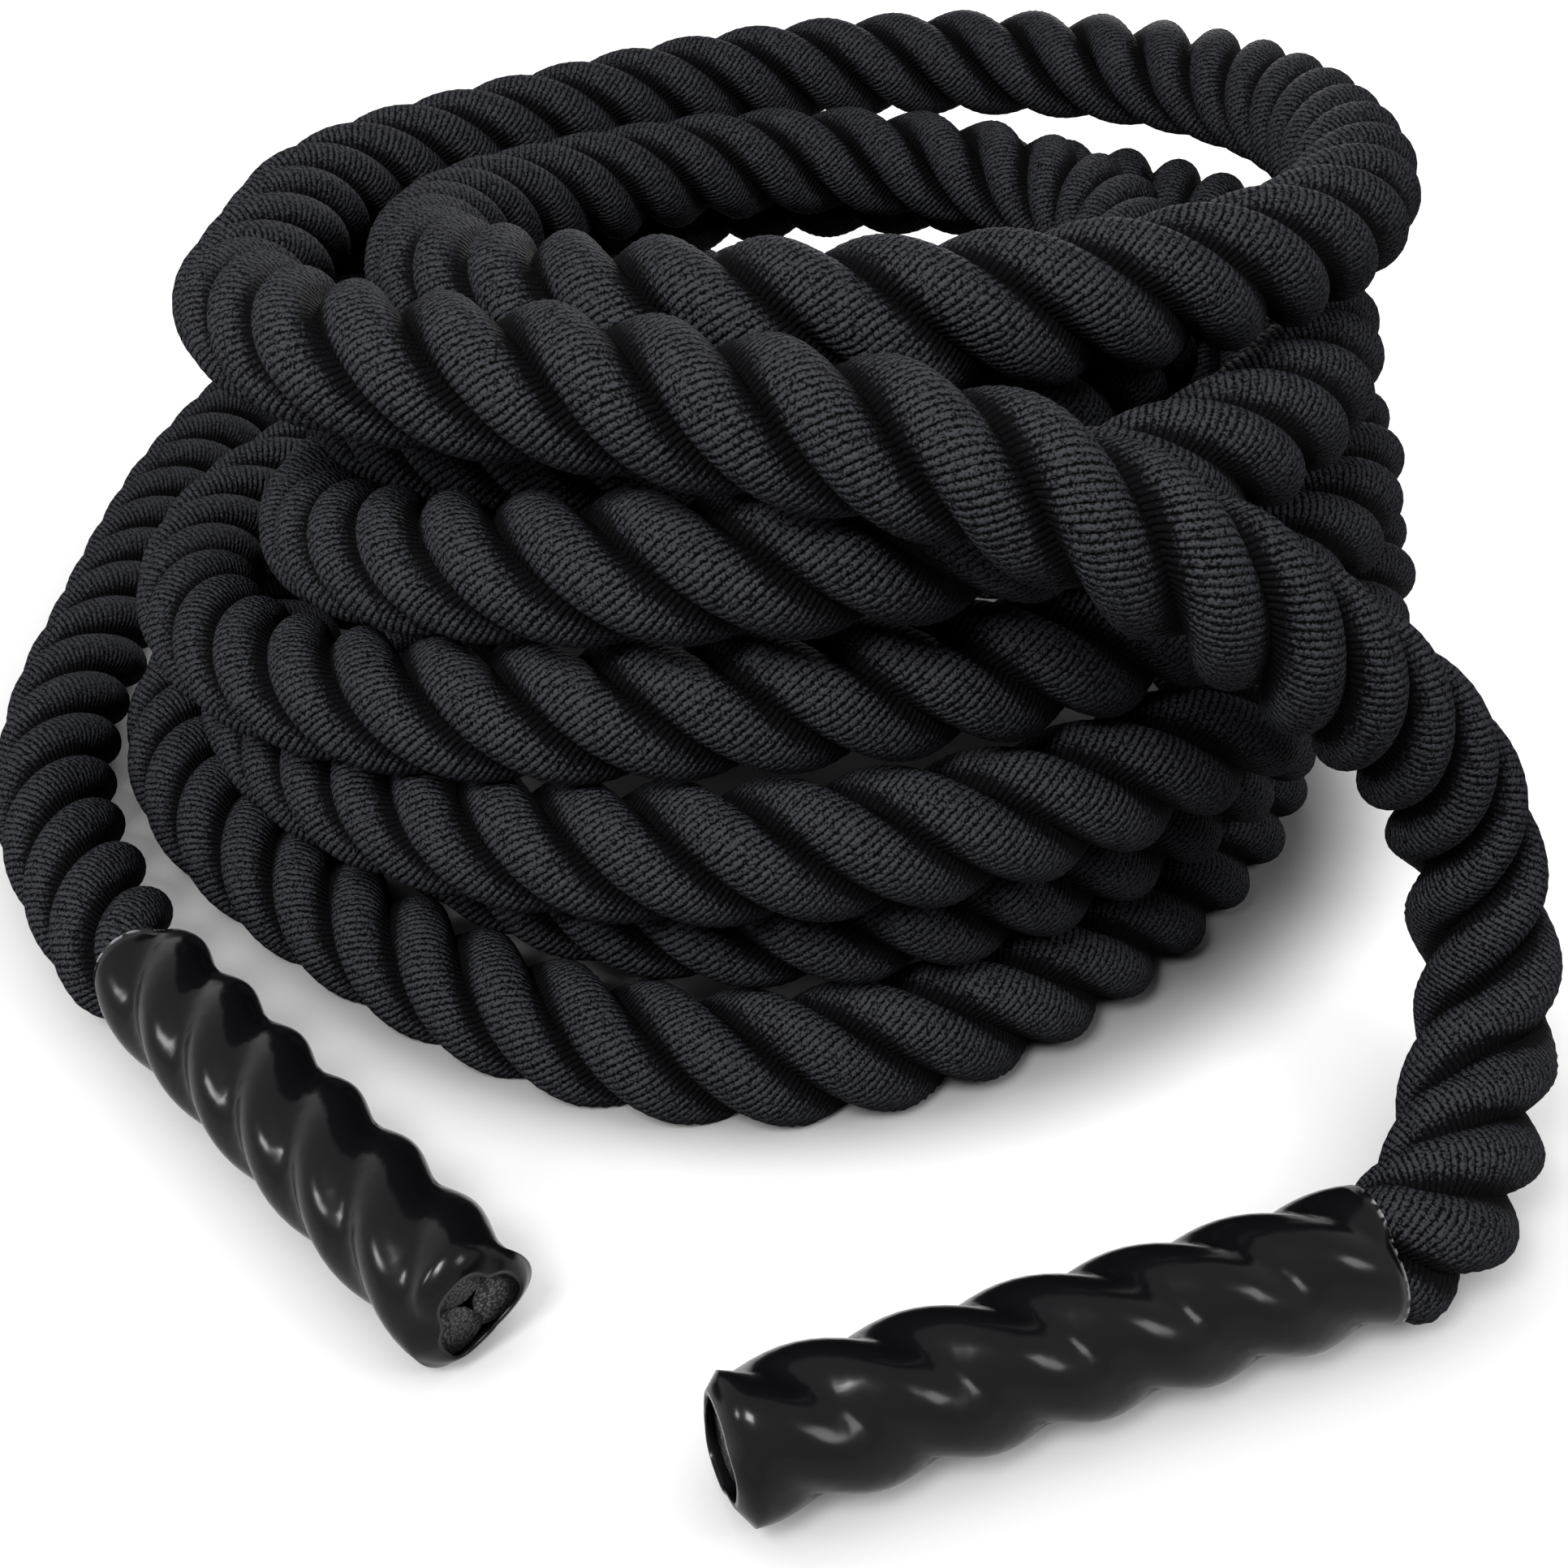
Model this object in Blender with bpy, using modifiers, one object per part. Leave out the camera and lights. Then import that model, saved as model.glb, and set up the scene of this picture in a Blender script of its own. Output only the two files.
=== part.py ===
"""Battle rope laid down in a round pile, with a sleeved grip on each end.

The pile is wound anticlockwise, seen from above, from the floor up. The lower end runs round
the left of the pile to the left grip; the upper end crosses the front and drops to the right
grip. The front of the pile is at -Y.
"""
import math

import bmesh
import bpy
from mathutils import Matrix, Vector

# Rope
CORD_DIAMETER = 0.038
LAY_LENGTH = 0.086
STRANDS = 3
TOUCH_GAP = 0.0003

# Pile, at each quarter turn from the back: back, left, front, right, in cord diameters
TURNS = 7.25
POINTS_PER_TURN = 24
COIL_RADIUS_SHARES = (
    6.40, 5.70, 5.00, 4.40,
    4.00, 3.85, 4.55, 4.70,
    4.90, 4.80, 5.00, 5.00,
    4.90, 5.20, 4.65, 4.70,
    3.80, 3.85, 4.85, 4.35,
    5.10, 3.75, 3.60, 3.00,
    4.15, 2.90, 3.75, 4.60,
    5.50, 4.15, 4.45,
)
COIL_LEVEL_SHARES = (
    0.50, 0.40, 0.40, 0.40,
    0.40, 0.40, 1.37, 1.38,
    1.05, 1.05, 2.31, 2.35,
    2.07, 2.08, 3.34, 3.34,
    2.90, 2.79, 4.51, 4.44,
    3.76, 4.02, 4.65, 4.50,
    4.35, 4.87, 5.70, 5.50,
    4.86, 4.95, 5.15,
)
SQUARED_TURNS = 3.5
SQUARE_SHARE = 0.09
SKEW_SHARE = 0.18
FLOOR_CUT_SHARE = 0.1

# Free stretches, from the pile outwards, in millimetres on a 38 mm rope
ROUTE_UNIT_SHARE = 1 / 38
LEFT_RUN_ROUTE = (
    (87, 274, 19), (112, 321, 19), (105, 373, 19), (69, 412, 19),
    (25, 426, 19), (-40, 428, 19), (-108, 417, 19), (-170, 389, 19),
    (-219, 340, 19), (-250, 265, 19), (-263, 180, 19), (-263, 100, 19),
    (-260, 34, 19), (-257, -10, 19),
)
LEFT_BEND_ROUTE = ((-243, -70, 19), (-219, -117, 19), (-190, -158, 19))
LEFT_GRIP_HEADING = math.radians(-48.2)
RIGHT_RUN_ROUTE = (
    (-150, -83, 195), (-133, -115, 201), (-112, -141, 206), (-80, -160, 209),
    (-46, -174, 211), (-15, -187, 211), (16, -199, 210), (45, -208, 206),
    (72, -214, 196), (98, -214, 181), (123, -206, 160), (149, -190, 134),
    (172, -177, 107), (187, -171, 79), (195, -177, 54), (196, -194, 35),
    (188, -216, 24),
)
RIGHT_BEND_ROUTE = ((180, -236, 20), (170, -253, 19), (147, -269, 19))
RIGHT_GRIP_HEADING = math.radians(199.9)
ROUTE_UNIT = CORD_DIAMETER * ROUTE_UNIT_SHARE
PILE_SHIFT = (34.1, -51.7, 0)
PILE_PLACE = Vector(PILE_SHIFT) * ROUTE_UNIT
POINT_SPACING = CORD_DIAMETER
LEAD_LENGTH = CORD_DIAMETER / 4

# Grips: a heat-shrunk sleeve over the three strands of the rope's end
SLEEVE_LENGTH = 0.172
SLEEVE_RADIUS = 0.0186
SLEEVE_VALLEY = 0.0162
SLEEVE_WALL = 0.0014
SLEEVE_POINTS = 18
STRAND_CLEARANCE = 0.0006
STRAND_RECESS = 0.003
STRAND_SIDES = 8
RINGS_PER_LAY = 15

ROPE_COLOUR = (0.016, 0.016, 0.017)
SLEEVE_COLOUR = (0.008, 0.008, 0.009)


def clear_scene():
    for item in list(bpy.data.objects):
        bpy.data.objects.remove(item, do_unlink=True)


def new_collection(name):
    collection = bpy.data.collections.new(name)
    bpy.context.scene.collection.children.link(collection)
    return collection


def new_material(name, colour, roughness):
    material = bpy.data.materials.new(name)
    material.use_nodes = True
    surface = material.node_tree.nodes["Principled BSDF"]
    surface.inputs["Base Color"].default_value = (*colour, 1.0)
    surface.inputs["Roughness"].default_value = roughness
    surface.inputs["Metallic"].default_value = 0.0
    return material


def new_object(name, data, collection, parent, material=None):
    item = bpy.data.objects.new(name, data)
    collection.objects.link(item)
    item.parent = parent
    if material:
        item.data.materials.append(material)
    return item


def read_table(table, turn):
    """Cubic curve through a table of four values a turn."""
    place = min(max(turn * 4, 0), len(table) - 1)
    index = min(int(place), len(table) - 2)
    share = place - index
    here, there = table[index], table[index + 1]
    before, after = table[max(index - 1, 0)], table[min(index + 2, len(table) - 1)]
    slope_here, slope_there = (there - before) / 2, (after - here) / 2
    bend = 2 * (here - there) + slope_here + slope_there
    lift = 3 * (there - here) - 2 * slope_here - slope_there
    return ((bend * share + lift) * share + slope_here) * share + here


def coil_point(turn):
    """Point of the rope's middle line, a number of turns from the start of the pile."""
    around = 4 * math.pi * turn
    square = SQUARE_SHARE * max(0, 1 - turn / SQUARED_TURNS) * math.sin(around) ** 2
    rear = max(0, math.cos(around / 2))
    skew = SKEW_SHARE * (turn / TURNS) ** 2 * math.sin(around) * rear
    radius = read_table(COIL_RADIUS_SHARES, turn) * CORD_DIAMETER * (1 - square - skew)
    lowest = 0.5 - FLOOR_CUT_SHARE
    level = max(lowest, read_table(COIL_LEVEL_SHARES, turn)) * CORD_DIAMETER
    angle = math.pi / 2 + 2 * math.pi * turn
    return Vector((radius * math.cos(angle), radius * math.sin(angle), level))


def coil_points():
    count = round(TURNS * POINTS_PER_TURN)
    return [coil_point(index / POINTS_PER_TURN) for index in range(count + 1)]


def coil_ends(turns):
    """Both ends of the pile's rope, one diameter out, with the headings they leave by."""
    step = 1 / POINTS_PER_TURN
    start_heading = (turns[0] - coil_point(step / 2)).normalized()
    end_heading = (turns[-1] - coil_point(TURNS - step / 2)).normalized()
    start_heading.z = 0
    start_heading.normalize()
    start = turns[0] + start_heading * CORD_DIAMETER
    end = turns[-1] + end_heading * CORD_DIAMETER
    return (start, start_heading), (end, end_heading)


def least_gap(points):
    """Smallest gap between stretches of the pile that are over half a turn apart."""
    apart = POINTS_PER_TURN // 2
    gaps = []
    for index, point in enumerate(points):
        for other in range(index + apart, len(points) - 1):
            first, second = points[other], points[other + 1]
            edge = second - first
            share = min(max((point - first).dot(edge) / edge.length_squared, 0), 1)
            gaps.append((first + edge * share - point).length - CORD_DIAMETER)
    return min(gaps)


def smooth_run(controls, first_heading, last_heading):
    """Points along a smooth curve through the controls, straight at both ends."""
    start = controls[0] + first_heading * LEAD_LENGTH
    end = controls[-1] - last_heading * LEAD_LENGTH
    knots = [start, *controls[1:-1], end]
    lengths = [(b - a).length for a, b in zip(knots, knots[1:])]
    slopes = [first_heading]
    for index in range(1, len(knots) - 1):
        before, after = lengths[index - 1], lengths[index]
        coming = (knots[index] - knots[index - 1]) / before
        going = (knots[index + 1] - knots[index]) / after
        slopes.append((coming * after + going * before) / (before + after))
    slopes.append(last_heading)
    points = [controls[0] + first_heading * (TOUCH_GAP / 2)]
    for index, length in enumerate(lengths):
        steps = max(1, round(length / POINT_SPACING))
        for step in range(steps):
            points.append(on_curve(knots, slopes, length, index, step / steps))
    points.append(end)
    points.append(controls[-1] - last_heading * (TOUCH_GAP / 2))
    for point in points:
        point.z = max(point.z, CORD_DIAMETER / 2)
    return points


def on_curve(knots, slopes, length, index, share):
    here, there = knots[index], knots[index + 1]
    leave, arrive = slopes[index] * length, slopes[index + 1] * length
    bend = 2 * (here - there) + leave + arrive
    lift = 3 * (there - here) - 2 * leave - arrive
    return ((bend * share + lift) * share + leave) * share + here


def route_points(route):
    return [Vector(place) * ROUTE_UNIT for place in route]


def new_tube(name, points, sides_level, collection, parent, material):
    """Round tube with flat ends along a line of points."""
    curve = bpy.data.curves.new(name, "CURVE")
    curve.dimensions = "3D"
    curve.bevel_depth = CORD_DIAMETER / 2
    curve.bevel_resolution = sides_level
    curve.use_fill_caps = True
    spline = curve.splines.new("POLY")
    spline.points.add(len(points) - 1)
    for slot, point in zip(spline.points, points):
        slot.co = (*point, 1.0)
    return new_object(name, curve, collection, parent, material)


def curve_to_mesh(tube):
    """Same tube as a welded mesh that a cutter can cut."""
    bpy.context.view_layer.update()
    graph = bpy.context.evaluated_depsgraph_get()
    mesh = bpy.data.meshes.new_from_object(tube.evaluated_get(graph))
    shape = bmesh.new()
    shape.from_mesh(mesh)
    bmesh.ops.remove_doubles(shape, verts=shape.verts, dist=TOUCH_GAP / 10)
    shape.to_mesh(mesh)
    shape.free()
    name, collection, place = tube.name, tube.users_collection[0], tube.matrix_world.copy()
    parent = tube.parent
    bpy.data.objects.remove(tube)
    solid = new_object(name, mesh, collection, parent)
    solid.matrix_world = place
    return solid


def cut_at_floor(solid, cutters, parent):
    """Flat underside where the lowest turn rests, one tenth of a diameter deep."""
    reach = 2 * max(COIL_RADIUS_SHARES) * CORD_DIAMETER + 4 * CORD_DIAMETER
    mesh = bpy.data.meshes.new("floor_cutter")
    shape = bmesh.new()
    bmesh.ops.create_cube(shape, size=reach)
    shape.to_mesh(mesh)
    shape.free()
    cutter = new_object("floor_cutter", mesh, cutters, parent)
    cutter.location.z = -reach / 2
    cutter.hide_render = True
    cutter.display_type = "WIRE"
    cut = solid.modifiers.new("floor_cut", "BOOLEAN")
    cut.operation = "DIFFERENCE"
    cut.object = cutter


def build_pile(points, collection, cutters, parent, material):
    """The wound rope, one unbroken tube."""
    (start, _), (end, _) = coil_ends(points)
    line = [start, *points, end]
    tube = new_tube("rope_coil", line, 1, collection, parent, material)
    tube.data.twist_mode = "Z_UP"
    cut_at_floor(curve_to_mesh(tube), cutters, parent)
    print("least gap of the pile to itself, mm:", round(least_gap(line) * 1000, 2))


def grip_axis(heading):
    """Direction of a sleeve, falling so far that its far end rests on the floor."""
    fall = (CORD_DIAMETER / 2 - SLEEVE_RADIUS) / SLEEVE_LENGTH
    axis = Vector((math.cos(heading), math.sin(heading), -fall))
    return axis.normalized()


def spin_up(shape, length):
    """Draw a shape along Z while it turns with the rope's lay."""
    steps = max(1, round(length / LAY_LENGTH * RINGS_PER_LAY))
    bmesh.ops.spin(
        shape,
        geom=[*shape.verts, *shape.edges, *shape.faces],
        cent=(0, 0, 0),
        axis=(0, 0, 1),
        dvec=(0, 0, length / steps),
        angle=2 * math.pi * length / LAY_LENGTH,
        steps=steps,
    )


def finish_mesh(shape, name):
    mesh = bpy.data.meshes.new(name)
    shape.to_mesh(mesh)
    shape.free()
    mesh.shade_smooth()
    mesh.set_sharp_from_angle(angle=math.radians(40))
    return mesh


def turn_outwards(shape):
    """Faces of an open tube, turned away from its axis."""
    face = next(iter(shape.faces))
    middle = face.calc_center_median()
    if face.normal.x * middle.x + face.normal.y * middle.y < 0:
        bmesh.ops.reverse_faces(shape, faces=shape.faces)


def build_sleeve(name, collection, parent, material):
    """Thin open sleeve that shows the rope's three strands through it."""
    middle = (SLEEVE_RADIUS + SLEEVE_VALLEY) / 2
    swell = (SLEEVE_RADIUS - SLEEVE_VALLEY) / 2
    shape = bmesh.new()
    ring = bmesh.ops.create_circle(shape, segments=SLEEVE_POINTS, radius=1, cap_ends=False)
    for vert in ring["verts"]:
        angle = math.atan2(vert.co.y, vert.co.x)
        vert.co *= middle + swell * math.cos(STRANDS * angle)
    spin_up(shape, SLEEVE_LENGTH)
    bmesh.ops.recalc_face_normals(shape, faces=shape.faces)
    turn_outwards(shape)
    sleeve = new_object(name, finish_mesh(shape, name), collection, parent, material)
    wall = sleeve.modifiers.new("wall", "SOLIDIFY")
    wall.thickness = SLEEVE_WALL
    wall.offset = -1
    return sleeve


def strand_sizes():
    """Radius of a strand that fits in the sleeve beside the others, and its middle's distance."""
    spread = 1 / math.sin(math.pi / STRANDS)
    room = SLEEVE_RADIUS - SLEEVE_WALL - STRAND_CLEARANCE
    radius = (room - spread * STRAND_CLEARANCE / 2) / (1 + spread)
    return radius, spread * (radius + STRAND_CLEARANCE / 2)


def build_strand(name, index, collection, parent, material):
    """One strand of the rope inside a sleeve, cut square just short of the sleeve's mouth."""
    radius, distance = strand_sizes()
    turn = Matrix.Rotation(2 * math.pi * index / STRANDS, 4, "Z")
    shape = bmesh.new()
    bmesh.ops.create_circle(
        shape,
        segments=STRAND_SIDES,
        radius=radius,
        cap_ends=True,
        matrix=turn @ Matrix.Translation((distance, 0, 0)),
    )
    spin_up(shape, SLEEVE_LENGTH - STRAND_RECESS)
    bmesh.ops.recalc_face_normals(shape, faces=shape.faces)
    return new_object(name, finish_mesh(shape, name), collection, parent, material)


def build_grip(side, pivot, start, heading, looks, collection, parent):
    """Sleeve and strands of one end, carried by an empty at the hinge of the lift."""
    axis = grip_axis(heading)
    turn = axis.to_track_quat("Z", "Y")
    hinge = new_object(side + "_grip_hinge", None, collection, parent)
    hinge.location = pivot
    hinge.rotation_mode = "QUATERNION"
    hinge.rotation_quaternion = turn
    seat = turn.inverted() @ (start + axis * (TOUCH_GAP / 2) - pivot)
    pieces = [build_sleeve(side + "_sleeve", collection, hinge, looks["sleeve"])]
    for index in range(STRANDS):
        name = side + "_strand_" + str(index + 1)
        pieces.append(build_strand(name, index, collection, hinge, looks["rope"]))
    for piece in pieces:
        piece.location = seat
    mouth = start + axis * SLEEVE_LENGTH
    reach = mouth - pivot
    lift_axis = Vector((reach.y, -reach.x, 0)).normalized()
    print(side, "hinge", tuple(round(v, 5) for v in pivot + PILE_PLACE))
    print(side, "hinge axis", tuple(round(v, 5) for v in lift_axis))


def build_end(side, leave, run_route, bend_route, heading, looks, collection, parent):
    """Free stretch, bend and grip on one end of the rope."""
    start, first_heading = leave
    run = [start, *route_points(run_route)]
    bend = [run[-1], *route_points(bend_route)]
    pivot_heading = (bend[1] - run[-2]).normalized()
    run_line = smooth_run(run, first_heading, pivot_heading)
    bend_line = smooth_run(bend, pivot_heading, grip_axis(heading))
    new_tube(side + "_tail", run_line, 2, collection, parent, looks["rope"])
    new_tube(side + "_bend", bend_line, 2, collection, parent, looks["rope"])
    build_grip(side, run[-1], bend[-1], heading, looks, collection, parent)


def main():
    clear_scene()
    collection = new_collection("battle_rope")
    cutters = new_collection("cutters")
    looks = {
        "rope": new_material("rope_yarn", ROPE_COLOUR, 0.9),
        "sleeve": new_material("sleeve_vinyl", SLEEVE_COLOUR, 0.3),
    }
    centre = new_object("pile_centre", None, collection, None)
    centre.location = PILE_PLACE
    turns = coil_points()
    start, end = coil_ends(turns)
    build_pile(turns, collection, cutters, centre, looks["rope"])
    build_end("left", start, LEFT_RUN_ROUTE, LEFT_BEND_ROUTE, LEFT_GRIP_HEADING,
              looks, collection, centre)
    build_end("right", end, RIGHT_RUN_ROUTE, RIGHT_BEND_ROUTE, RIGHT_GRIP_HEADING,
              looks, collection, centre)


main()
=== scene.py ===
"""Battle rope in a round pile, with a glossy sleeve on each of its two ends."""
import math

import bpy
import numpy as np
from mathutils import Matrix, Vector


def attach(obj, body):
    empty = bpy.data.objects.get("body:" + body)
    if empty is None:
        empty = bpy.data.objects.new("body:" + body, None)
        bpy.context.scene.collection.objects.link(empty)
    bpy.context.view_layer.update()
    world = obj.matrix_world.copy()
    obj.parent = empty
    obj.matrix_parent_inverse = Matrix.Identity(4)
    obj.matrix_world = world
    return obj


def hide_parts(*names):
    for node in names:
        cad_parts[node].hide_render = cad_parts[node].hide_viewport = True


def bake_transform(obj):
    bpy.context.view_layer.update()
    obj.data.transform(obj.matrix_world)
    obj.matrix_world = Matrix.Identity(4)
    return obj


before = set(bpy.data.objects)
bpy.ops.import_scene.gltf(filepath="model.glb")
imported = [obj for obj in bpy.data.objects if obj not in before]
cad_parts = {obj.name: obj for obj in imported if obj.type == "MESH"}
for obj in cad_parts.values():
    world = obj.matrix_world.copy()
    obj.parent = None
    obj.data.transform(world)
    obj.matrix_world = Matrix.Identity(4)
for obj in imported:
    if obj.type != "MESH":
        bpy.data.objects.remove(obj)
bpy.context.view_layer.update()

# Rope
CORD_DIAMETER = 0.038
LAY_LENGTH = 0.086
STRANDS = 3

# Pile, at each quarter turn from the back: back, left, front, right, in cord diameters
TURNS = 7.25
COIL_RADIUS_SHARES = (
    6.40, 5.70, 5.00, 4.40,
    4.00, 3.85, 4.55, 4.70,
    4.90, 4.80, 5.00, 5.00,
    4.90, 5.20, 4.65, 4.70,
    3.80, 3.85, 4.85, 4.35,
    5.10, 3.75, 3.60, 3.00,
    4.15, 2.90, 3.75, 4.60,
    5.50, 4.15, 4.45,
)
COIL_LEVEL_SHARES = (
    0.50, 0.40, 0.40, 0.40,
    0.40, 0.40, 1.37, 1.38,
    1.05, 1.05, 2.31, 2.35,
    2.07, 2.08, 3.34, 3.34,
    2.90, 2.79, 4.51, 4.44,
    3.76, 4.02, 4.65, 4.50,
    4.35, 4.87, 5.70, 5.50,
    4.86, 4.95, 5.15,
)
VALUES_PER_TURN = 4
SQUARED_TURNS = 3.5
SQUARE_SHARE = 0.09
SKEW_SHARE = 0.18
FLOOR_CUT_SHARE = 0.1

# Free stretches, from the pile outwards, in millimetres on a 38 mm rope
LEFT_RUN_ROUTE = (
    (87, 274, 19), (112, 321, 19), (105, 373, 19), (69, 412, 19),
    (25, 426, 19), (-40, 428, 19), (-108, 417, 19), (-170, 389, 19),
    (-219, 340, 19), (-250, 265, 19), (-263, 180, 19), (-263, 100, 19),
    (-260, 34, 19), (-257, -10, 19),
)
LEFT_BEND_ROUTE = ((-243, -70, 19), (-219, -117, 19), (-190, -158, 19))
LEFT_GRIP_HEADING = math.radians(-48.2)
RIGHT_RUN_ROUTE = (
    (-150, -83, 195), (-133, -115, 201), (-112, -141, 206), (-80, -160, 209),
    (-46, -174, 211), (-15, -187, 211), (16, -199, 210), (45, -208, 206),
    (72, -214, 196), (98, -214, 181), (123, -206, 160), (149, -190, 134),
    (172, -177, 107), (187, -171, 79), (195, -177, 54), (196, -194, 35),
    (188, -216, 24),
)
RIGHT_BEND_ROUTE = ((180, -236, 20), (170, -253, 19), (147, -269, 19))
RIGHT_GRIP_HEADING = math.radians(199.9)
ROUTE_UNIT = CORD_DIAMETER / 38
PILE_SHIFT = (34.1, -51.7, 0)
PILE_PLACE = np.array(PILE_SHIFT) * ROUTE_UNIT
LEAD_LENGTH = CORD_DIAMETER / 4

# Grips
SLEEVE_LENGTH = 0.172
SLEEVE_RADIUS = 0.0186
SLEEVE_VALLEY = 0.0162
SLEEVE_WALL = 0.0014
SLEEVE_SIDES = 96
VALLEY_PINCH = 0.0010
RIDGE_POWER = 0.65
LIP_CURL = 0.26
LIP_DEPTH = 0.0034
LIP_POWER = 1.5
RAGGED_THREES = 0.0005
RAGGED_SEVENS = 0.0003
RAGGED_REACH = 0.012
STRAND_CLEARANCE = 0.0006
STRAND_RECESS = 0.003

# Fine shape of the rope
RING_STEP = 0.0033
FINE_STEP = 0.001
HEADING_STEP = 1 / 48
SOFTENING_ROUNDS = 2
SAME_PLACE = 1e-6
SAME_POINT = 1e-7
STRAND_RADIUS = 0.0109
STRAND_PLACE = 0.0092
STRAND_WIDENING = 1.05
CORE_RADIUS = 0.0015
OUTER_POINTS = 17
OUTER_ANGLE = math.radians(120)
UNEVENNESS = ((0.010, 41, 2.1), (0.008, 97, 1.0))
NARROWING = 0.012
NARROWING_INSIDE = 0.002
LOWEST_SKIN = 0.0002
LOWEST_LINING = 0.0010

# Materials, with plain colours for viewers that show no pattern
YARN_PLAIN = (0.02, 0.02, 0.022)
# Yarn ramp: the light end is a painted highlight on the rib crests, the dark end painted shade in the
# hollows between ribs, over random fibre tone
YARN_DARK = (0.0024, 0.0024, 0.0028)
YARN_LIGHT = (0.029, 0.030, 0.035)
YARN_DARK_END = 0.34
YARN_ROUGHNESS = 0.75
YARN_SHINE = 0.02
YARN_RELIEF = 0.0010
YARNS = 26
YARN_TURNS_PER_LAY = 2.7
YARN_DRIFT = 0.9
DRIFT_SCALE = 90
FIBRE_SCALE = 1300
FIBRE_HEIGHT = 0.6
FIBRE_CONTRAST = 4.6
NOISE_MIDDLE = 0.5
CREST_PLACE = 0.5
# Painted shade where strands meet: colour darkens from CREST_SHARE to GROOVE_SHARE off the crest, down
# to the groove's shade level
CREST_SHARE = 0.13
GROOVE_SHARE = 0.29
GROOVE_PAINTED_SHADE = 0.05
CUT_PLAIN = (0.02, 0.02, 0.02)
CUT_LIGHT = (0.24, 0.24, 0.245)
CUT_DARK = (0.006, 0.006, 0.006)
CUT_DARK_START = 0.7
CUT_ROUGHNESS = 0.9
CUT_RELIEF = 0.0008
CUT_YARN_SCALE = 1100
VINYL_BLACK = (0.003, 0.003, 0.0035)
VINYL_ROUGHNESS = 0.2
VINYL_SHINE = 0.13
VINYL_RELIEF = 0.0012
VINYL_BUMP = 0.5
VINYL_SCALE = 60
RIM_LIGHT = (0.45, 0.45, 0.46)
RIM_SHARE = 0.99
TEAR_SCALE = 500
TEAR_START = 0.45
TEAR_END = 0.6

# Stage
FLOOR_SIZE = 12
FLOOR_GREY = (0.18, 0.18, 0.18)
FLOOR_ROUGHNESS = 0.95
FLOOR_GLOW = 0.90
# Painted shade on the floor: the glow is off under the pile and comes up between these two radii
PILE_SHADE_FADE_START = 0.18
PILE_SHADE_FADE_END = 0.23
FAR_START = 0.5
FAR_END = 1.8
# Reach of the painted contact shadow that dims the floor glow near the rope
PAINTED_CONTACT_SHADOW_REACH = 0.06
WORLD_LIGHT = 0.08
SEEN_LIGHT = 1.0
LAMPS = (
    ("key", (-0.45, -1.0, 1.2), (0, -0.05, 0.05), 0.45, 34),
    ("fill", (1.1, -0.8, 1.0), (0, -0.05, 0.1), 0.5, 11),
    ("left", (-1.25, -0.75, 0.8), (-0.1, -0.25, 0.02), 0.26, 9),
    ("back", (0.4, 1.5, 0.5), (0, 0, 0.1), 0.5, 22),
)
SENSOR_WIDTH = 36
FOCAL_PIXELS = 2465
PHOTO_PIXELS = 1932
CAMERA_BACK = 0.62
CAMERA_HEIGHT = 0.399
CAMERA_FALL = 34


def curve_between(here, there, leave, arrive, share):
    """Point of a cubic curve at a share of its way, given its slopes at both ends."""
    bend = 2 * (here - there) + leave + arrive
    lift = 3 * (there - here) - 2 * leave - arrive
    return ((bend * share + lift) * share + leave) * share + here


def read_table(table, turns):
    """Smooth curve through a table of a few values a turn."""
    table = np.array(table)
    last = len(table) - 1
    place = np.clip(turns * VALUES_PER_TURN, 0, last)
    index = np.minimum(place.astype(int), last - 1)
    here, there = table[index], table[index + 1]
    leave = (there - table[np.maximum(index - 1, 0)]) / 2
    arrive = (table[np.minimum(index + 2, last)] - here) / 2
    return curve_between(here, there, leave, arrive, place - index)


def coil_line(turns):
    """Points of the rope's middle line at given numbers of turns from the pile's start."""
    turns = np.asarray(turns, float)
    around = 4 * math.pi * turns
    square = SQUARE_SHARE * np.maximum(0, 1 - turns / SQUARED_TURNS) * np.sin(around) ** 2
    rear = np.maximum(0, np.cos(around / 2))
    skew = SKEW_SHARE * (turns / TURNS) ** 2 * np.sin(around) * rear
    radius = read_table(COIL_RADIUS_SHARES, turns) * CORD_DIAMETER * (1 - square - skew)
    level = np.maximum(0.5 - FLOOR_CUT_SHARE, read_table(COIL_LEVEL_SHARES, turns))
    angle = math.pi / 2 + 2 * math.pi * turns
    return np.stack((radius * np.cos(angle), radius * np.sin(angle), level * CORD_DIAMETER), -1)


def unit(vector):
    return vector / np.linalg.norm(vector)


def smooth_run(controls, first_heading, last_heading):
    """Fine points along a smooth curve through the controls, straight at both ends."""
    start = controls[0] + first_heading * LEAD_LENGTH
    end = controls[-1] - last_heading * LEAD_LENGTH
    knots = [start, *controls[1:-1], end]
    lengths = [np.linalg.norm(b - a) for a, b in zip(knots, knots[1:])]
    slopes = [first_heading]
    for index in range(1, len(knots) - 1):
        before, after = lengths[index - 1], lengths[index]
        coming = (knots[index] - knots[index - 1]) / before
        going = (knots[index + 1] - knots[index]) / after
        slopes.append((coming * after + going * before) / (before + after))
    slopes.append(last_heading)
    points = [controls[0]]
    for index, length in enumerate(lengths):
        steps = max(2, round(length / FINE_STEP))
        leave, arrive = slopes[index] * length, slopes[index + 1] * length
        for share in np.arange(steps) / steps:
            points.append(curve_between(knots[index], knots[index + 1], leave, arrive, share))
    points += [end, controls[-1]]
    line = np.array(points)
    line[:, 2] = np.maximum(line[:, 2], CORD_DIAMETER / 2)
    return line


def grip_axis(heading):
    fall = (CORD_DIAMETER / 2 - SLEEVE_RADIUS) / SLEEVE_LENGTH
    return unit(np.array((math.cos(heading), math.sin(heading), -fall)))


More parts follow.
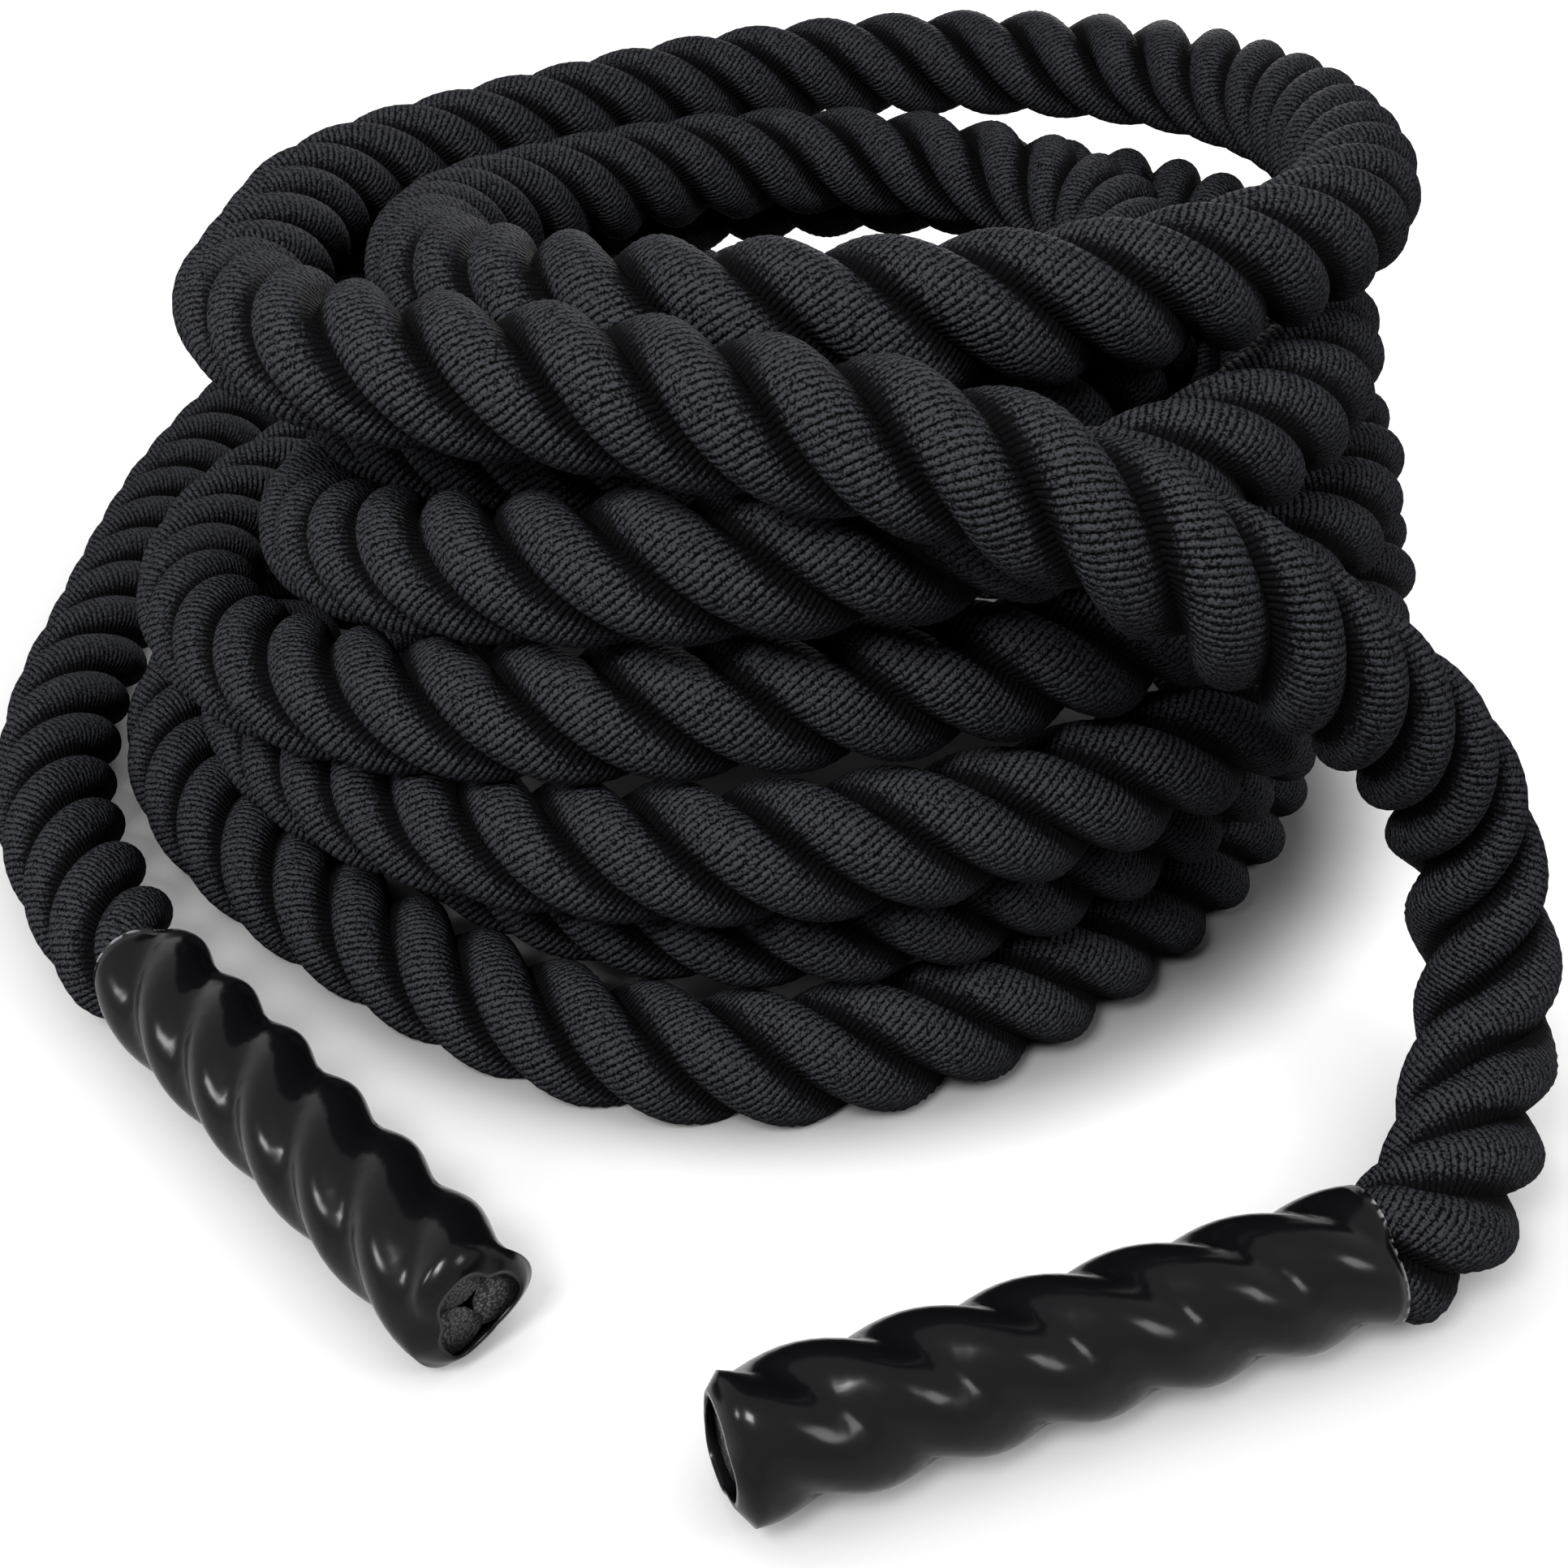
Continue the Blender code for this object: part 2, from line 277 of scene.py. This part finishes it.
def end_lines(start, first_heading, run_route, bend_route, heading):
    """Free stretch, bend and sleeve axis of one end, each from the pile outwards."""
    run = [start, *(np.array(place, float) * ROUTE_UNIT for place in run_route)]
    bend = [run[-1], *(np.array(place, float) * ROUTE_UNIT for place in bend_route)]
    pivot_heading = unit(bend[1] - run[-2])
    axis = grip_axis(heading)
    grip = np.array([bend[-1], bend[-1] + axis * SLEEVE_LENGTH])
    return smooth_run(run, first_heading, pivot_heading), smooth_run(bend, pivot_heading, axis), grip


def joined(lines):
    points = np.concatenate(lines)
    keep = np.ones(len(points), bool)
    keep[1:] = np.linalg.norm(np.diff(points, axis=0), axis=1) > SAME_POINT
    return points[keep]


def lengths_along(points):
    return np.concatenate(([0], np.cumsum(np.linalg.norm(np.diff(points, axis=0), axis=1))))


def line_length(points):
    return lengths_along(points)[-1]


def whole_route():
    """Middle line from the left sleeve's mouth to the right one, and the lengths of both ends."""
    steps = round(TURNS * 2 * math.pi * max(COIL_RADIUS_SHARES) * CORD_DIAMETER / FINE_STEP)
    turns = np.linspace(0, TURNS, steps)
    coil = coil_line(turns)
    near_start, near_end = coil_line((HEADING_STEP, TURNS - HEADING_STEP))
    start_heading = coil[0] - near_start
    start_heading[2] = 0
    start_heading = unit(start_heading)
    end_heading = unit(coil[-1] - near_end)
    start = coil[0] + start_heading * CORD_DIAMETER
    end = coil[-1] + end_heading * CORD_DIAMETER
    left = end_lines(start, start_heading, LEFT_RUN_ROUTE, LEFT_BEND_ROUTE, LEFT_GRIP_HEADING)
    right = end_lines(end, end_heading, RIGHT_RUN_ROUTE, RIGHT_BEND_ROUTE, RIGHT_GRIP_HEADING)
    left_bend = SLEEVE_LENGTH + line_length(left[1])
    right_bend = SLEEVE_LENGTH + line_length(right[1])
    lines = [line[::-1] for line in left[::-1]] + [coil] + list(right)
    points = joined(lines) + PILE_PLACE
    return points, left_bend, right_bend


def resampled(points, step):
    along = lengths_along(points)
    count = round(along[-1] / step)
    places = np.linspace(0, along[-1], count + 1)
    line = np.stack([np.interp(places, along, points[:, axis]) for axis in range(3)], -1)
    return places, line


def softened(line, rounds):
    """Slight smoothing, so that no joint between two curves shows."""
    for _ in range(rounds):
        line[1:-1] = line[1:-1] * 0.5 + (line[:-2] + line[2:]) * 0.25
    return line


def frames_along(line):
    """Two directions square to the line at each point, carried along it without twist."""
    tangents = np.gradient(line, axis=0)
    tangents /= np.linalg.norm(tangents, axis=1)[:, None]
    sides = np.zeros_like(line)
    side = unit(np.cross(tangents[0], (0, 0, 1.0)))
    for index, tangent in enumerate(tangents):
        side = unit(side - tangent * side.dot(tangent))
        sides[index] = side
    return sides, np.cross(tangents, sides)


POINTS, LEFT_BEND_END, RIGHT_BEND_SPAN = whole_route()
PLACES, LINE = resampled(POINTS, RING_STEP)
LINE = softened(LINE, SOFTENING_ROUNDS)
SIDES, UPS = frames_along(LINE)
WHOLE = PLACES[-1]


def smoothstep(value):
    value = np.clip(value, 0, 1)
    return value * value * (3 - 2 * value)


def rope_scale(places):
    """Share of the rope's full thickness at each place, less inside the sleeves."""
    room = SLEEVE_RADIUS - SLEEVE_WALL - STRAND_CLEARANCE
    least = room / (STRAND_PLACE + STRAND_RADIUS)
    inside = np.minimum(places, WHOLE - places)
    share = smoothstep((inside - SLEEVE_LENGTH + NARROWING_INSIDE) / NARROWING)
    return least + (1 - least) * share


def rings_between(first, last):
    return np.nonzero((PLACES >= first - SAME_PLACE) & (PLACES <= last + SAME_PLACE))[0]


def place_rings(rings, radial, around):
    """World points at given distances and angles round the rope's middle line."""
    out = SIDES[rings][:, None] * np.cos(around)[..., None]
    out = out + UPS[rings][:, None] * np.sin(around)[..., None]
    return LINE[rings][:, None] + out * radial[..., None]


def new_mesh(name, vertices, faces, uvs=None):
    mesh = bpy.data.meshes.new(name)
    mesh.from_pydata(vertices.tolist(), [], faces)
    if uvs is not None:
        layer = mesh.uv_layers.new(name="lay")
        layer.uv.foreach_set("vector", np.asarray(uvs, np.float32).ravel())
    mesh.shade_smooth()
    piece = bpy.data.objects.new(name, mesh)
    bpy.context.scene.collection.objects.link(piece)
    return piece


def strand_points(rings, strand):
    """Points of one strand's rings, and each point's share of a turn round the strand."""
    places = PLACES[rings]
    scale = rope_scale(places)[:, None]
    phase = 2 * math.pi * (places / LAY_LENGTH + strand / STRANDS)[:, None]
    angles = np.linspace(-OUTER_ANGLE, OUTER_ANGLE, OUTER_POINTS)
    wobble = 1 + sum(share * np.sin(places * pace + strand * shift) for share, pace, shift in UNEVENNESS)
    radius = STRAND_RADIUS * wobble[:, None]
    out = STRAND_PLACE + radius * np.cos(angles)
    across = radius * np.sin(angles) * STRAND_WIDENING
    core = np.full((len(rings), 1), CORE_RADIUS)
    out = np.concatenate((out, core), 1) * scale
    across = np.concatenate((across, np.zeros_like(core)), 1) * scale
    points = place_rings(rings, np.hypot(out, across), phase + np.arctan2(across, out))
    points[..., 2] = np.maximum(points[..., 2], LOWEST_SKIN)
    return points, np.append(angles / (2 * math.pi) + CREST_PLACE, 1)


def strand_skin(base, along, turn_share):
    """Faces of a strand's skin, and their corners in turns along the lay and round the strand."""
    width = len(turn_share)
    shares = np.append(turn_share, 1 + turn_share[0])
    faces, corners = [], []
    for ring in range(len(along) - 1):
        here = base + ring * width
        there = here + width
        for spot in range(width):
            beside = (spot + 1) % width
            faces.append((here + spot, here + beside, there + beside, there + spot))
            corners += [(along[ring], shares[spot]), (along[ring], shares[spot + 1]),
                        (along[ring + 1], shares[spot + 1]), (along[ring + 1], shares[spot])]
    return faces, corners


def build_rope(name, first, last, cut=None):
    """Strands of the rope between two places along it, cut at the first, the last or neither."""
    rings = rings_between(first, last)
    along = PLACES[rings] / LAY_LENGTH
    vertices, faces, corners, slots = [], [], [], []
    for strand in range(STRANDS):
        points, turn_share = strand_points(rings, strand)
        base = strand * len(rings) * len(turn_share)
        vertices.append(points.reshape(-1, 3))
        skin, skin_corners = strand_skin(base, along, turn_share)
        faces += skin
        corners += skin_corners
        slots += [0] * len(skin)
        if cut:
            ring = 0 if cut == "first" else len(rings) - 1
            start = base + ring * len(turn_share)
            face = range(start, start + len(turn_share))
            faces.append(tuple(reversed(face) if cut == "first" else face))
            corners += [(along[ring], CREST_PLACE)] * len(face)
            slots.append(1)
    piece = new_mesh(name, np.concatenate(vertices), faces, corners)
    piece.data.polygons.foreach_set("material_index", slots)
    return piece, [tuple(place) for place in LINE[rings]]


def sleeve_radii(places, around, from_mouth):
    """Outer radii of a sleeve: ridges over the strands, and a curled, ragged mouth."""
    phase = 2 * math.pi * places / LAY_LENGTH
    lobes = (1 + np.cos(STRANDS * (around - phase))) / 2
    valley = SLEEVE_VALLEY - VALLEY_PINCH
    outer = valley + (SLEEVE_RADIUS - valley) * lobes ** RIDGE_POWER
    curl = LIP_CURL * np.maximum(0, 1 - from_mouth / LIP_DEPTH) ** LIP_POWER
    ragged = RAGGED_THREES * np.sin(3 * around + 1) + RAGGED_SEVENS * np.sin(7 * around)
    return outer * (1 - curl) + ragged * np.exp(-from_mouth / RAGGED_REACH)


def tube_faces(count, sides):
    """Faces of a tube's outside and inside, and of both rims."""
    faces = []
    shift = count * sides
    far = shift - sides
    pairs = [(spot, (spot + 1) % sides) for spot in range(sides)]
    for ring in range(0, far, sides):
        for spot, beside in pairs:
            here, there = ring + spot, ring + beside
            faces.append((here, there, there + sides, here + sides))
            faces.append((shift + there, shift + here, shift + here + sides, shift + there + sides))
    for spot, beside in pairs:
        faces.append((spot, shift + spot, shift + beside, beside))
        faces.append((far + beside, shift + far + beside, shift + far + spot, far + spot))
    return faces


def build_sleeve(name, first, last, mouth_first):
    """Shrunk sleeve that shows the lay of the rope under it."""
    rings = rings_between(first, last)
    places = PLACES[rings][:, None]
    from_mouth = (places - places[0]) if mouth_first else (places[-1] - places)
    around = np.tile(np.linspace(0, 2 * math.pi, SLEEVE_SIDES, endpoint=False), (len(rings), 1))
    outer = sleeve_radii(places, around, from_mouth)
    outside = place_rings(rings, outer, around)
    inside = place_rings(rings, outer - SLEEVE_WALL, around)
    outside[..., 2] = np.maximum(outside[..., 2], LOWEST_SKIN)
    inside[..., 2] = np.maximum(inside[..., 2], LOWEST_LINING)
    vertices = np.concatenate((outside.reshape(-1, 3), inside.reshape(-1, 3)))
    sleeve = new_mesh(name, vertices, tube_faces(len(rings), SLEEVE_SIDES))
    inward = np.repeat(from_mouth.ravel(), SLEEVE_SIDES) / SLEEVE_LENGTH
    layer = sleeve.data.attributes.new("inward", "FLOAT", "POINT")
    layer.data.foreach_set("value", np.concatenate((inward, inward)))
    return sleeve


def node(tree, kind, **settings):
    made = tree.nodes.new(kind)
    for key, value in settings.items():
        setattr(made, key, value)
    return made


def math_node(tree, operation, first, second=None, third=None):
    made = node(tree, "ShaderNodeMath", operation=operation)
    for slot, value in zip(made.inputs, (first, second, third)):
        if value is None:
            continue
        if isinstance(value, (int, float)):
            slot.default_value = value
        else:
            tree.links.new(value, slot)
    return made.outputs[0]


def new_material(name, colour, roughness):
    material = bpy.data.materials.new(name)
    material.use_nodes = True
    tree = material.node_tree
    surface = tree.nodes["Principled BSDF"]
    surface.inputs["Base Color"].default_value = (*colour, 1)
    surface.inputs["Roughness"].default_value = roughness
    return material, tree, surface


def seen_ray(tree):
    """One for rays that come straight from the camera, a mirror or a glass."""
    path = node(tree, "ShaderNodeLightPath")
    seen = math_node(tree, "MAXIMUM", path.outputs["Is Camera Ray"], path.outputs["Is Glossy Ray"])
    return math_node(tree, "MAXIMUM", seen, path.outputs["Is Transmission Ray"])


def range_node(tree, value, first, last, low, high):
    """Value mapped smoothly from one range to another."""
    made = node(tree, "ShaderNodeMapRange", interpolation_type="SMOOTHSTEP")
    tree.links.new(value, made.inputs["Value"])
    for name, number in zip(("From Min", "From Max", "To Min", "To Max"), (first, last, low, high)):
        made.inputs[name].default_value = number
    return made.outputs["Result"]


def ramp_node(tree, value, first, last, first_place=0.0, last_place=1.0):
    """Colour that runs from one to another with a value."""
    ramp = node(tree, "ShaderNodeValToRGB")
    for stop, colour, place in zip(ramp.color_ramp.elements, (first, last), (first_place, last_place)):
        stop.color = (*colour, 1)
        stop.position = place
    tree.links.new(value, ramp.inputs[0])
    return ramp.outputs[0]


def add_bump(tree, surface, height, distance, strength=1.0):
    bump = node(tree, "ShaderNodeBump")
    bump.inputs["Strength"].default_value = strength
    bump.inputs["Distance"].default_value = distance
    tree.links.new(height, bump.inputs["Height"])
    tree.links.new(bump.outputs[0], surface.inputs["Normal"])
    return bump


def noise_node(tree, scale, detail):
    place = node(tree, "ShaderNodeTexCoord")
    noise = node(tree, "ShaderNodeTexNoise")
    noise.inputs["Scale"].default_value = scale
    noise.inputs["Detail"].default_value = detail
    tree.links.new(place.outputs["Object"], noise.inputs["Vector"])
    return noise.outputs[0]


def yarn_material():
    """Ribs of yarn that wind round each strand, fuzzy on top, with painted highlight on the rib crests,
    painted shade between the ribs and painted shade where strands meet.
    """
    material, tree, surface = new_material("rope_yarn", YARN_PLAIN, YARN_ROUGHNESS)
    surface.inputs["Specular IOR Level"].default_value = YARN_SHINE
    lay = node(tree, "ShaderNodeUVMap", uv_map="lay")
    split = node(tree, "ShaderNodeSeparateXYZ")
    tree.links.new(lay.outputs[0], split.inputs[0])
    along, around = split.outputs[0], split.outputs[1]
    drift = math_node(tree, "MULTIPLY", noise_node(tree, DRIFT_SCALE, detail=2), YARN_DRIFT)
    turns = math_node(tree, "MULTIPLY_ADD", along, YARN_TURNS_PER_LAY, around)
    rib_share = math_node(tree, "FRACT", math_node(tree, "MULTIPLY_ADD", turns, YARNS, drift))
    swing = math_node(tree, "SINE", math_node(tree, "MULTIPLY", rib_share, math.pi))
    rib_height = math_node(tree, "SQRT", swing)
    fibres = noise_node(tree, FIBRE_SCALE, detail=3)
    height = math_node(tree, "MULTIPLY_ADD", fibres, FIBRE_HEIGHT, rib_height)
    add_bump(tree, surface, height, YARN_RELIEF)
    uneven = math_node(tree, "SUBTRACT", fibres, NOISE_MIDDLE)
    # Random fibre tone, with rib crests painted lighter as highlight and hollows between ribs painted
    # darker as shade
    fibre_tone_and_painted_light = math_node(tree, "MULTIPLY_ADD", uneven, FIBRE_CONTRAST, rib_height)
    # Painted shade: the strand's colour darkens towards its sides, where it meets the next strand
    off_crest = math_node(tree, "ABSOLUTE", math_node(tree, "SUBTRACT", around, CREST_PLACE))
    painted_groove_shade = range_node(tree, off_crest, CREST_SHARE, GROOVE_SHARE, 1.0, GROOVE_PAINTED_SHADE)
    fibre_tone_and_painted_light = math_node(tree, "MULTIPLY", fibre_tone_and_painted_light, painted_groove_shade)
    colour = ramp_node(tree, fibre_tone_and_painted_light, YARN_DARK, YARN_LIGHT, first_place=YARN_DARK_END)
    tree.links.new(colour, surface.inputs["Base Color"])
    return material


def cut_material():
    """Cut ends of the strands: a dull speckle of yarn ends."""
    material, tree, surface = new_material("rope_cut", CUT_PLAIN, CUT_ROUGHNESS)
    place = node(tree, "ShaderNodeTexCoord")
    cells = node(tree, "ShaderNodeTexVoronoi")
    cells.inputs["Scale"].default_value = CUT_YARN_SCALE
    tree.links.new(place.outputs["Object"], cells.inputs["Vector"])
    from_middle = cells.outputs["Distance"]
    colour = ramp_node(tree, from_middle, CUT_LIGHT, CUT_DARK, last_place=CUT_DARK_START)
    tree.links.new(colour, surface.inputs["Base Color"])
    add_bump(tree, surface, from_middle, CUT_RELIEF).invert = True
    return material


def sleeve_material():
    """Shrunk vinyl: black, glossy, faintly uneven, with a light frayed rim on the rope."""
    material, tree, surface = new_material("sleeve_vinyl", VINYL_BLACK, VINYL_ROUGHNESS)
    surface.inputs["Specular IOR Level"].default_value = VINYL_SHINE
    inward = node(tree, "ShaderNodeAttribute", attribute_name="inward")
    rim = range_node(tree, inward.outputs["Fac"], RIM_SHARE, 1.0, 0.0, 1.0)
    tear = range_node(tree, noise_node(tree, TEAR_SCALE, detail=1), TEAR_START, TEAR_END, 0.0, 1.0)
    colour = ramp_node(tree, math_node(tree, "MULTIPLY", rim, tear), VINYL_BLACK, RIM_LIGHT)
    tree.links.new(colour, surface.inputs["Base Color"])
    add_bump(tree, surface, noise_node(tree, VINYL_SCALE, detail=2), VINYL_RELIEF, VINYL_BUMP)
    return material


def build_floor():
    """White ground that keeps the rope's shadow: its glow ends under the pile as painted shade, dims
    near the rope as painted contact shadow, and is full far off.
    """
    bpy.ops.mesh.primitive_plane_add(size=FLOOR_SIZE)
    floor = bpy.context.object
    floor.name = "studio_floor"
    material, tree, surface = new_material("studio_floor", FLOOR_GREY, FLOOR_ROUGHNESS)
    surface.inputs["Specular IOR Level"].default_value = 0.0
    ground = node(tree, "ShaderNodeNewGeometry")
    offset = node(tree, "ShaderNodeVectorMath", operation="DISTANCE")
    tree.links.new(ground.outputs["Position"], offset.inputs[0])
    offset.inputs[1].default_value = tuple(PILE_PLACE)
    # Painted shade: no floor glow under the pile
    outside = range_node(tree, offset.outputs["Value"], PILE_SHADE_FADE_START, PILE_SHADE_FADE_END, 0.0, 1.0)
    far = range_node(tree, offset.outputs["Value"], FAR_START, FAR_END, FLOOR_GLOW, 1.0)
    # Painted contact shadow: the floor glow dims where the rope is near
    painted_contact_shadow = node(tree, "ShaderNodeAmbientOcclusion")
    painted_contact_shadow.inputs["Distance"].default_value = PAINTED_CONTACT_SHADOW_REACH
    strength = math_node(tree, "MULTIPLY", outside, painted_contact_shadow.outputs["AO"])
    strength = math_node(tree, "MULTIPLY", strength, far)
    glow = node(tree, "ShaderNodeEmission")
    tree.links.new(math_node(tree, "MULTIPLY", strength, seen_ray(tree)), glow.inputs["Strength"])
    both = node(tree, "ShaderNodeAddShader")
    tree.links.new(surface.outputs[0], both.inputs[0])
    tree.links.new(glow.outputs[0], both.inputs[1])
    tree.links.new(both.outputs[0], tree.nodes["Material Output"].inputs["Surface"])
    floor.data.materials.append(material)


def build_world():
    """Weak light all round, which the camera and mirrors see as white."""
    world = bpy.data.worlds.new("studio")
    bpy.context.scene.world = world
    world.use_nodes = True
    tree = world.node_tree
    dim, bright = tree.nodes["Background"], node(tree, "ShaderNodeBackground")
    for light, strength in ((dim, WORLD_LIGHT), (bright, SEEN_LIGHT)):
        light.inputs[0].default_value = (1, 1, 1, 1)
        light.inputs[1].default_value = strength
    mix = node(tree, "ShaderNodeMixShader")
    tree.links.new(seen_ray(tree), mix.inputs[0])
    tree.links.new(dim.outputs[0], mix.inputs[1])
    tree.links.new(bright.outputs[0], mix.inputs[2])
    tree.links.new(mix.outputs[0], tree.nodes["World Output"].inputs[0])


def build_lamps():
    for name, place, target, size, power in LAMPS:
        light = bpy.data.lights.new(name, "AREA")
        light.size = size
        light.energy = power
        lamp = bpy.data.objects.new(name, light)
        bpy.context.scene.collection.objects.link(lamp)
        lamp.location = place
        lamp.rotation_euler = (Vector(target) - Vector(place)).to_track_quat("-Z", "Y").to_euler()


def build_camera():
    data = bpy.data.cameras.new("camera")
    data.sensor_width = SENSOR_WIDTH
    data.lens = FOCAL_PIXELS / PHOTO_PIXELS * SENSOR_WIDTH
    camera = bpy.data.objects.new("camera", data)
    bpy.context.scene.collection.objects.link(camera)
    camera.location = (PILE_PLACE[0], PILE_PLACE[1] - CAMERA_BACK, CAMERA_HEIGHT)
    camera.rotation_euler = (math.radians(90 - CAMERA_FALL), 0, 0)
    bpy.context.scene.camera = camera


def build_ropes():
    """The rope as its fixed pile and its two ends."""
    left_pivot, right_pivot = LEFT_BEND_END, WHOLE - RIGHT_BEND_SPAN
    left_start, right_end = left_pivot + RING_STEP, right_pivot - RING_STEP
    middle, middle_path = build_rope("rope_main", left_pivot, right_pivot)
    left, left_path = build_rope("rope_left_end", STRAND_RECESS, left_start, cut="first")
    right, right_path = build_rope("rope_right_end", right_end, WHOLE - STRAND_RECESS, cut="last")
    yarn, cut = yarn_material(), cut_material()
    for piece in (middle, left, right):
        piece.data.materials.append(yarn)
        piece.data.materials.append(cut)
    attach(middle, "pile")
    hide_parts("rope_coil", "left_tail", "right_tail")
    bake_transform(left)
    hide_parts("left_bend", "left_strand_1", "left_strand_2", "left_strand_3")
    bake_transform(right)
    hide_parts("right_bend", "right_strand_1", "right_strand_2", "right_strand_3")
    return (middle, middle_path), (left, left_path[::-1]), (right, right_path)


def build_sleeves():
    left_sleeve = build_sleeve("left_grip_sleeve", 0, SLEEVE_LENGTH, True)
    right_sleeve = build_sleeve("right_grip_sleeve", WHOLE - SLEEVE_LENGTH, WHOLE, False)
    vinyl = sleeve_material()
    for piece, body in ((left_sleeve, "left_grip"), (right_sleeve, "right_grip")):
        piece.data.materials.append(vinyl)
        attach(piece, body)
    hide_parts("left_sleeve")
    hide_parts("right_sleeve")
    return left_sleeve, right_sleeve


def build_part():
    """Every piece of the part."""
    (middle, middle_path), (left, left_path), (right, right_path) = build_ropes()
    left_sleeve, right_sleeve = build_sleeves()


def main():
    bpy.context.scene.view_settings.view_transform = "Standard"
    build_camera()
    build_part()
    build_floor()
    build_world()
    build_lamps()


main()
